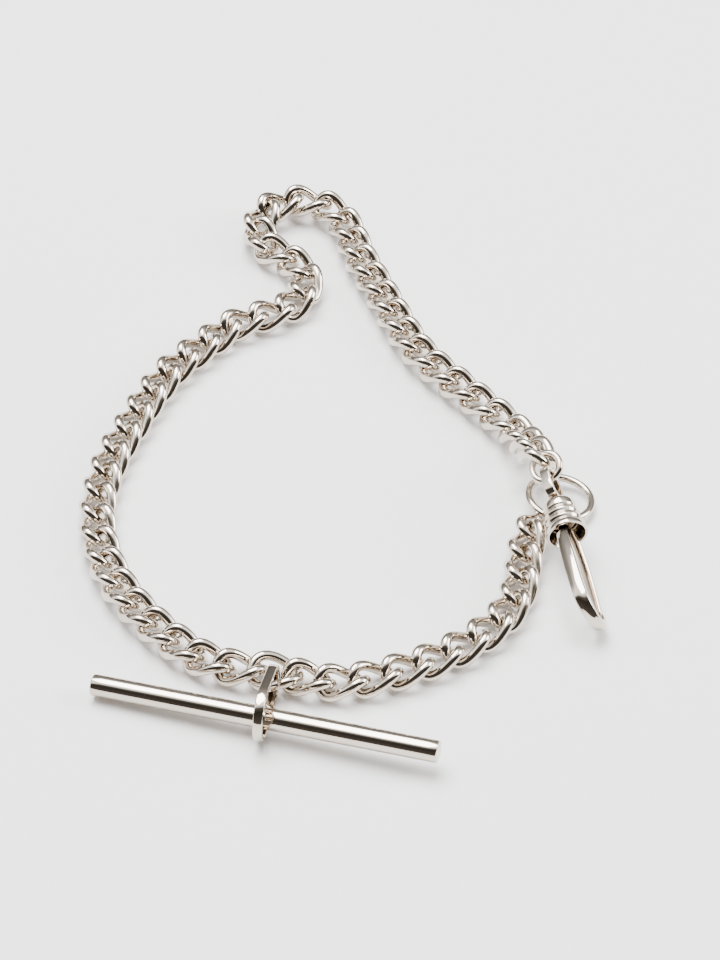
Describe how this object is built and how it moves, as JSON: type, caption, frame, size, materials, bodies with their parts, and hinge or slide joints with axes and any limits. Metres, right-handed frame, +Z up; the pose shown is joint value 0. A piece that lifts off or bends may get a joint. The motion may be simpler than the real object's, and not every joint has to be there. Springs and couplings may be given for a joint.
{
  "type": "pocket watch chain",
  "caption": "Curb-link waistcoat chain with a plain T-bar in a strap, a swivel clasp at one end and a short drop with a ring, lying in a loose loop.",
  "frame": {"origin": "on the table under the centre of the laid-out chain's bounding box", "axes": "+Z up from the table, +Y away from the T-bar towards the far fold of the chain, +X towards the clasp's side"},
  "size_m": [0.0588, 0.0962, 0.0075],
  "materials": {
    "polished_wire": "polished nickel plate on drawn wire",
    "polished_fittings": "polished nickel plate on turned and stamped pieces"
  },
  "bodies": {
    "middle_link": {"middle_link": "polished_wire"},
    "main_01": {"main_01": "polished_wire"},
    "main_02": {"main_02": "polished_wire"},
    "main_03": {"main_03": "polished_wire"},
    "main_04": {"main_04": "polished_wire"},
    "main_05": {"main_05": "polished_wire"},
    "main_06": {"main_06": "polished_wire"},
    "main_07": {"main_07": "polished_wire"},
    "main_08": {"main_08": "polished_wire"},
    "main_09": {"main_09": "polished_wire"},
    "main_10": {"main_10": "polished_wire"},
    "main_11_12": {"main_11_12": "polished_wire"},
    "main_13_14": {"main_13_14": "polished_wire"},
    "main_15": {"main_15": "polished_wire"},
    "main_16": {"main_16": "polished_wire"},
    "main_17": {"main_17": "polished_wire"},
    "main_18": {"main_18": "polished_wire"},
    "main_19": {"main_19": "polished_wire"},
    "main_20": {"main_20": "polished_wire"},
    "main_21": {"main_21": "polished_wire"},
    "main_22": {"main_22": "polished_wire"},
    "main_23": {"main_23": "polished_wire"},
    "main_24": {"main_24": "polished_wire"},
    "main_25": {"main_25": "polished_wire"},
    "main_26": {"main_26": "polished_wire"},
    "main_27": {"main_27": "polished_wire"},
    "main_28": {"main_28": "polished_wire"},
    "main_29": {"main_29": "polished_wire"},
    "main_30": {"main_30": "polished_wire"},
    "main_31": {"main_31": "polished_wire"},
    "main_32": {"main_32": "polished_wire"},
    "main_33": {"main_33": "polished_wire"},
    "main_34_35": {"main_34_35": "polished_wire"},
    "main_36": {"main_36": "polished_wire"},
    "main_37_39": {"main_37_39": "polished_wire"},
    "main_40_41": {"main_40_41": "polished_wire"},
    "main_42": {"main_42": "polished_wire"},
    "main_43": {"main_43": "polished_wire"},
    "main_44": {"main_44": "polished_wire"},
    "main_45": {"main_45": "polished_wire"},
    "drop_01": {"drop_01": "polished_wire"},
    "drop_02": {"drop_02": "polished_wire"},
    "drop_03": {"drop_03": "polished_wire"},
    "drop_04": {"drop_04": "polished_wire"},
    "drop_05": {"drop_05": "polished_wire"},
    "drop_06": {"drop_06": "polished_wire"},
    "drop_07": {"drop_07": "polished_wire"},
    "drop_08": {"drop_08": "polished_wire"},
    "drop_09": {"drop_09": "polished_wire"},
    "drop_10": {"drop_10": "polished_wire"},
    "drop_11": {"drop_11": "polished_wire"},
    "drop_12": {"drop_12": "polished_wire"},
    "drop_ring": {"drop_ring": "polished_wire"},
    "jump_ring": {"jump_ring": "polished_wire"},
    "clasp_eye": {"clasp_eye": "polished_fittings"},
    "clasp_hook": {"clasp_hook": "polished_fittings", "clasp_collar": "polished_fittings"},
    "clasp_gate": {"clasp_gate": "polished_fittings"},
    "t_bar_strap": {"t_bar_strap": "polished_fittings"},
    "t_bar": {"t_bar": "polished_fittings"}
  },
  "joints": [
    {"name": "main_01_bend", "type": "hinge", "parent": "middle_link", "child": "main_01", "pos_m": [-0.00867, -0.03394, 0.00171], "axis": [0.0621, 0.7044, -0.707], "range_deg": [-15, 2.4]},
    {"name": "main_02_bend", "type": "hinge", "parent": "main_01", "child": "main_02", "pos_m": [-0.01231, -0.03358, 0.00176], "axis": [0.3398, 0.6202, -0.707], "range_deg": [-15, 2.4]},
    {"name": "main_03_bend", "type": "hinge", "parent": "main_02", "child": "main_03", "pos_m": [-0.01553, -0.03187, 0.00171], "axis": [-0.4777, -0.5213, 0.7071], "range_deg": [-3.6, 15]},
    {"name": "main_04_bend", "type": "hinge", "parent": "main_03", "child": "main_04", "pos_m": [-0.01822, -0.0294, 0.00171], "axis": [-0.5233, -0.4755, 0.7071], "range_deg": [-3.6, 15]},
    {"name": "main_05_bend", "type": "hinge", "parent": "main_04", "child": "main_05", "pos_m": [-0.02067, -0.0267, 0.00171], "axis": [0.5695, 0.4191, -0.7071], "range_deg": [-15, 4.8]},
    {"name": "main_06_bend", "type": "hinge", "parent": "main_05", "child": "main_06", "pos_m": [-0.02284, -0.02376, 0.00171], "axis": [0.6126, 0.3532, -0.7071], "range_deg": [-15, 4.8]},
    {"name": "main_07_bend", "type": "hinge", "parent": "main_06", "child": "main_07", "pos_m": [-0.02466, -0.02059, 0.00171], "axis": [-0.6566, -0.2624, 0.7071], "range_deg": [-4.8, 15]},
    {"name": "main_08_bend", "type": "hinge", "parent": "main_07", "child": "main_08", "pos_m": [-0.02601, -0.01721, 0.00171], "axis": [0.9718, 0.2358, 0], "range_deg": [-15, 1.6]},
    {"name": "main_09_bend", "type": "hinge", "parent": "main_08", "child": "main_09", "pos_m": [-0.02687, -0.01366, 0.00171], "axis": [-0.7038, -0.0682, 0.7071], "range_deg": [-11.2, 0]},
    {"name": "main_10_bend", "type": "hinge", "parent": "main_09", "child": "main_10", "pos_m": [-0.02723, -0.01003, 0.00171], "axis": [0.9999, -0.0126, 0], "range_deg": [-8, 15]},
    {"name": "main_11_12_bend", "type": "hinge", "parent": "main_10", "child": "main_11_12", "pos_m": [-0.02718, -0.00638, 0.00171], "axis": [-0.9893, 0.146, 0], "range_deg": [-15, 1.6]},
    {"name": "main_13_14_bend", "type": "hinge", "parent": "main_11_12", "child": "main_13_14", "pos_m": [-0.02572, 0.00076, 0.00171], "axis": [0.9392, -0.3434, 0], "range_deg": [0, 15]},
    {"name": "main_15_bend", "type": "hinge", "parent": "main_13_14", "child": "main_15", "pos_m": [-0.02318, 0.00761, 0.00171], "axis": [-0.653, 0.2714, 0.7071], "range_deg": [-3.6, 15]},
    {"name": "main_16_bend", "type": "hinge", "parent": "main_15", "child": "main_16", "pos_m": [-0.02177, 0.01098, 0.00171], "axis": [0.8986, -0.4387, 0], "range_deg": [-15, 15]},
    {"name": "main_17_bend", "type": "hinge", "parent": "main_16", "child": "main_17", "pos_m": [-0.02017, 0.01426, 0.00171], "axis": [0, 0, 1], "range_deg": [0, 15]},
    {"name": "main_18_bend", "type": "hinge", "parent": "main_17", "child": "main_18", "pos_m": [-0.01795, 0.01715, 0.00171], "axis": [0, 0, 1], "range_deg": [0, 15]},
    {"name": "main_19_bend", "type": "hinge", "parent": "main_18", "child": "main_19", "pos_m": [-0.01553, 0.01988, 0.00171], "axis": [0, 0, 1], "range_deg": [0, 15]},
    {"name": "main_20_bend", "type": "hinge", "parent": "main_19", "child": "main_20", "pos_m": [-0.01313, 0.02264, 0.00171], "axis": [0.4323, -0.9017, 0], "range_deg": [0, 15]},
    {"name": "main_21_bend", "type": "hinge", "parent": "main_20", "child": "main_21", "pos_m": [-0.00984, 0.02422, 0.00171], "axis": [0.4199, -0.9076, 0], "range_deg": [0, 15]},
    {"name": "main_22_bend", "type": "hinge", "parent": "main_21", "child": "main_22", "pos_m": [-0.00653, 0.02575, 0.00171], "axis": [0.0083, 0.011, -0.9999], "range_deg": [-15, 0]},
    {"name": "main_23_bend", "type": "hinge", "parent": "main_22", "child": "main_23", "pos_m": [-0.00434, 0.02867, 0.00176], "axis": [0.707, -0.0124, 0.7071], "range_deg": [-15, 0]},
    {"name": "main_24_bend", "type": "hinge", "parent": "main_23", "child": "main_24", "pos_m": [-0.00428, 0.03232, 0.00176], "axis": [-0.8116, -0.5842, 0], "range_deg": [0, 15]},
    {"name": "main_25_bend", "type": "hinge", "parent": "main_24", "child": "main_25", "pos_m": [-0.00641, 0.03528, 0.00176], "axis": [-0.0146, 0.011, -0.9998], "range_deg": [-15, 0]},
    {"name": "main_26_bend", "type": "hinge", "parent": "main_25", "child": "main_26", "pos_m": [-0.00932, 0.03749, 0.00183], "axis": [0.6899, 0.1633, 0.7052], "range_deg": [-15, 0]},
    {"name": "main_27_bend", "type": "hinge", "parent": "main_26", "child": "main_27", "pos_m": [-0.01041, 0.04096, 0.0021], "axis": [0.0171, 0.0462, -0.9988], "range_deg": [-15, 0]},
    {"name": "main_28_bend", "type": "hinge", "parent": "main_27", "child": "main_28", "pos_m": [-0.00915, 0.04438, 0.00228], "axis": [0.3462, -0.6166, -0.7071], "range_deg": [-15, 0]},
    {"name": "main_29_bend", "type": "hinge", "parent": "main_28", "child": "main_29", "pos_m": [-0.00598, 0.04619, 0.00225], "axis": [0.0837, 0.7028, -0.7065], "range_deg": [-15, 0]},
    {"name": "main_30_bend", "type": "hinge", "parent": "main_29", "child": "main_30", "pos_m": [-0.00238, 0.0456, 0.00209], "axis": [-0.051, 0.0549, -0.9972], "range_deg": [-15, 0]},
    {"name": "main_31_bend", "type": "hinge", "parent": "main_30", "child": "main_31", "pos_m": [0.0001, 0.04293, 0.00182], "axis": [0.0064, -0.0195, 0.9998], "range_deg": [0, 15]},
    {"name": "main_32_bend", "type": "hinge", "parent": "main_31", "child": "main_32", "pos_m": [0.00124, 0.03947, 0.00174], "axis": [0.9696, 0.2446, 0], "range_deg": [-15, 0]},
    {"name": "main_33_bend", "type": "hinge", "parent": "main_32", "child": "main_33", "pos_m": [0.00213, 0.03593, 0.00171], "axis": [0.9393, 0.3432, 0], "range_deg": [-15, 0]},
    {"name": "main_34_35_bend", "type": "hinge", "parent": "main_33", "child": "main_34_35", "pos_m": [0.00338, 0.0325, 0.00171], "axis": [-0.929, -0.3701, 0], "range_deg": [0, 15]},
    {"name": "main_36_bend", "type": "hinge", "parent": "main_34_35", "child": "main_36", "pos_m": [0.00598, 0.02568, 0.00171], "axis": [-0.6646, -0.2416, 0.7071], "range_deg": [0, 15]},
    {"name": "main_37_39_bend", "type": "hinge", "parent": "main_36", "child": "main_37_39", "pos_m": [0.00723, 0.02225, 0.00171], "axis": [0.9165, 0.4, 0], "range_deg": [-15, 0]},
    {"name": "main_40_41_bend", "type": "hinge", "parent": "main_37_39", "child": "main_40_41", "pos_m": [0.01294, 0.01299, 0.00171], "axis": [0.5472, 0.4479, -0.7071], "range_deg": [-15, 0]},
    {"name": "main_42_bend", "type": "hinge", "parent": "main_40_41", "child": "main_42", "pos_m": [0.01757, 0.00734, 0.00171], "axis": [0.0347, -0.0484, -0.9982], "range_deg": [-15, 0]},
    {"name": "main_43_bend", "type": "hinge", "parent": "main_42", "child": "main_43", "pos_m": [0.01969, 0.00438, 0.00193], "axis": [-0.568, -0.4691, -0.6763], "range_deg": [-8, 15]},
    {"name": "main_44_bend", "type": "hinge", "parent": "main_43", "child": "main_44", "pos_m": [0.02107, 0.00117, 0.00299], "axis": [0.0979, -0.4112, -0.9063], "range_deg": [-15, 0]},
    {"name": "main_45_bend", "type": "hinge", "parent": "main_44", "child": "main_45", "pos_m": [0.02184, -0.00204, 0.00454], "axis": [-0.975, -0.2222, 0], "range_deg": [0, 15]},
    {"name": "drop_01_bend", "type": "hinge", "parent": "middle_link", "child": "drop_01", "pos_m": [-0.00493, -0.03488, 0.00171], "axis": [-0.279, -0.9603, 0], "range_deg": [-15, 0]},
    {"name": "drop_02_bend", "type": "hinge", "parent": "drop_01", "child": "drop_02", "pos_m": [-0.00142, -0.0359, 0.00171], "axis": [0.055, -0.705, -0.7071], "range_deg": [-15, 0]},
    {"name": "drop_03_bend", "type": "hinge", "parent": "drop_02", "child": "drop_03", "pos_m": [0.00222, -0.03561, 0.00171], "axis": [0.2015, -0.6778, -0.7071], "range_deg": [-15, 0]},
    {"name": "drop_04_bend", "type": "hinge", "parent": "drop_03", "child": "drop_04", "pos_m": [0.00571, -0.03457, 0.00171], "axis": [-0.2741, 0.6518, 0.7071], "range_deg": [0, 15]},
    {"name": "drop_05_bend", "type": "hinge", "parent": "drop_04", "child": "drop_05", "pos_m": [0.00908, -0.03316, 0.00171], "axis": [-0.3455, 0.617, -0.7071], "range_deg": [-3.6, 15]},
    {"name": "drop_06_bend", "type": "hinge", "parent": "drop_05", "child": "drop_06", "pos_m": [0.01226, -0.03137, 0.00171], "axis": [0.6052, -0.7961, 0], "range_deg": [-15, 0]},
    {"name": "drop_07_bend", "type": "hinge", "parent": "drop_06", "child": "drop_07", "pos_m": [0.01517, -0.02916, 0.00171], "axis": [0.732, -0.6814, 0], "range_deg": [-15, 0]},
    {"name": "drop_08_bend", "type": "hinge", "parent": "drop_07", "child": "drop_08", "pos_m": [0.01766, -0.02649, 0.00171], "axis": [0, 0, -1], "range_deg": [-15, 0]},
    {"name": "drop_09_bend", "type": "hinge", "parent": "drop_08", "child": "drop_09", "pos_m": [0.01934, -0.02326, 0.00171], "axis": [-0.6901, 0.1542, -0.7071], "range_deg": [-4.8, 15]},
    {"name": "drop_10_bend", "type": "hinge", "parent": "drop_09", "child": "drop_10", "pos_m": [0.02014, -0.01969, 0.00171], "axis": [0.9909, -0.1026, 0.0872], "range_deg": [-15, 0]},
    {"name": "drop_11_bend", "type": "hinge", "parent": "drop_10", "child": "drop_11", "pos_m": [0.02052, -0.01606, 0.00171], "axis": [-0.2053, 0.0355, 0.9781], "range_deg": [-1.6, 15]},
    {"name": "drop_12_bend", "type": "hinge", "parent": "drop_11", "child": "drop_12", "pos_m": [0.02137, -0.01251, 0.00176], "axis": [-0.2897, 0.1818, 0.9397], "range_deg": [-2.4, 15]},
    {"name": "ring_swing", "type": "hinge", "parent": "drop_12", "child": "drop_ring", "pos_m": [0.02302, -0.00989, 0.00176], "axis": [-0.8411, 0.5307, 0.1045], "range_deg": [-15, 32]},
    {"name": "jump_swing", "type": "hinge", "parent": "main_45", "child": "jump_ring", "pos_m": [0.02258, -0.00531, 0.00599], "axis": [-0.1914, 0.9773, 0.0907], "range_deg": [-14, 2]},
    {"name": "eye_swing", "type": "hinge", "parent": "jump_ring", "child": "clasp_eye", "pos_m": [0.02336, -0.0068, 0.00548], "axis": [-0.8628, -0.1235, -0.4902], "range_deg": [-5, 12]},
    {"name": "clasp_swivel", "type": "hinge", "parent": "clasp_eye", "child": "clasp_hook", "pos_m": [0.02415, -0.01081, 0.00511], "axis": [0.1914, -0.9773, -0.0907], "continuous": true},
    {"name": "gate_press", "type": "hinge", "parent": "clasp_hook", "child": "clasp_gate", "pos_m": [0.02549, -0.01514, 0.00384], "axis": [-0.8628, -0.1235, -0.4902], "range_deg": [0, 13], "stiffness_Nm_per_rad": 0.01},
    {"name": "strap_swing", "type": "hinge", "parent": "middle_link", "child": "t_bar_strap", "pos_m": [-0.00731, -0.03645, 0.00171], "axis": [-0.9703, 0.2419, 0], "range_deg": [-40, 30]},
    {"name": "bar_tilt", "type": "hinge", "parent": "t_bar_strap", "child": "t_bar", "pos_m": [-0.00786, -0.04142, 0.00216], "axis": [0.289, 0.9573, 0], "range_deg": [-12, 20]}
  ]
}
